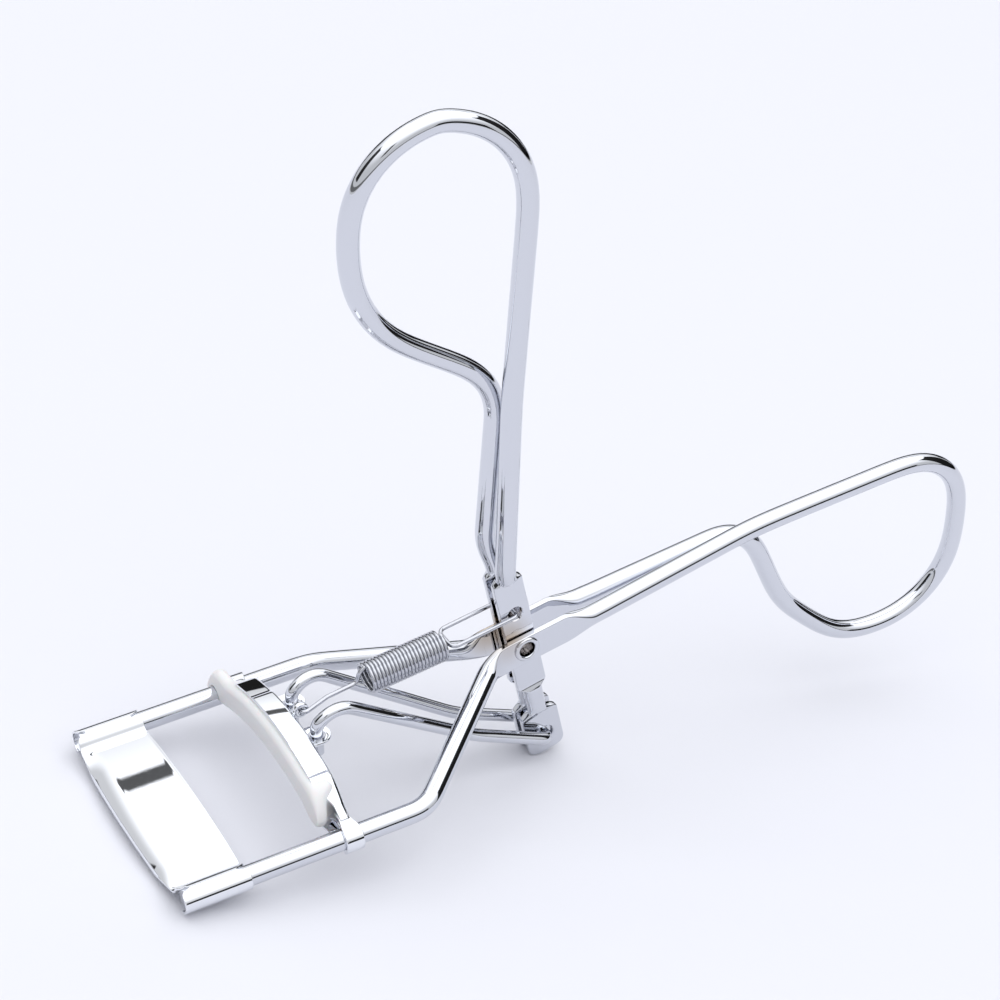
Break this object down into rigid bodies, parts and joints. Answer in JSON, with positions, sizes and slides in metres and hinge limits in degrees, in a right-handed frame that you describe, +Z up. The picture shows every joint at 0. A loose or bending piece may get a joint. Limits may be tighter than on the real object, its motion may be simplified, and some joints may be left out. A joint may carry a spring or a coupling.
{
  "type": "eyelash curler",
  "caption": "Bent-wire eyelash curler with a thumb lever, push rod, sprung slider and silicone pad that closes on a curved jaw plate.",
  "frame": {"origin": "on the surface that the object rests on, below the middle of its overall box", "axes": "+X from the jaw toward the finger loop, +Y across the jaw, +Z up"},
  "size_m": [0.1174, 0.034, 0.087],
  "materials": {
    "wire_chrome": "polished bright chrome on bent wire",
    "plate_chrome": "polished bright chrome on pressed sheet",
    "rod_chrome": "polished bright chrome on thin wire",
    "spring_steel": "bright plated spring wire",
    "silicone": "smooth white silicone"
  },
  "bodies": {
    "frame": {"frame_wire": "wire_chrome", "jaw_plate": "plate_chrome", "pivot_rivet": "plate_chrome"},
    "lever": {"lever_wire": "wire_chrome"},
    "push_rod": {"push_rod": "rod_chrome"},
    "slider": {"slider_bar": "plate_chrome", "silicone_pad": "silicone"},
    "spring_link": {"spring_tail": "spring_steel", "spring_coil": "spring_steel"},
    "spring_yoke": {"spring_yoke": "spring_steel"}
  },
  "joints": [
    {"name": "lever_pivot", "type": "hinge", "parent": "frame", "child": "lever", "pos_m": [-0.0096, 0, 0.01762], "axis": [0, 1, 0], "range_deg": [0, 34.45], "stiffness_Nm_per_rad": 0.015, "springref_deg": -34.38},
    {"name": "rod_hinge", "type": "hinge", "parent": "lever", "child": "push_rod", "pos_m": [-0.0035, 0, 0.00315], "axis": [0, 1, 0], "range_deg": [-35.91, 0.5]},
    {"name": "slider_travel", "type": "slide", "parent": "frame", "child": "slider", "axis": [-0.9811, 0, -0.1937], "range_m": [-0.0001, 0.00975]},
    {"name": "spring_hook", "type": "hinge", "parent": "slider", "child": "spring_link", "pos_m": [-0.03803, 0, 0.01292], "axis": [0, 1, 0], "range_deg": [-0.5, 2.77]},
    {"name": "spring_stretch", "type": "slide", "parent": "spring_link", "child": "spring_yoke", "axis": [0.9554, 0, 0.2952], "range_m": [-0.0001, 0.01264], "deforming": ["spring_coil"]}
  ],
  "couplings": [
    {"joint": "rod_hinge", "follows": "lever_pivot", "ratio": -1.028},
    {"joint": "slider_travel", "follows": "lever_pivot", "m_per_rad": 0.016049},
    {"joint": "spring_hook", "follows": "lever_pivot", "ratio": 0.066048},
    {"joint": "spring_stretch", "follows": "lever_pivot", "m_per_rad": 0.02086}
  ]
}
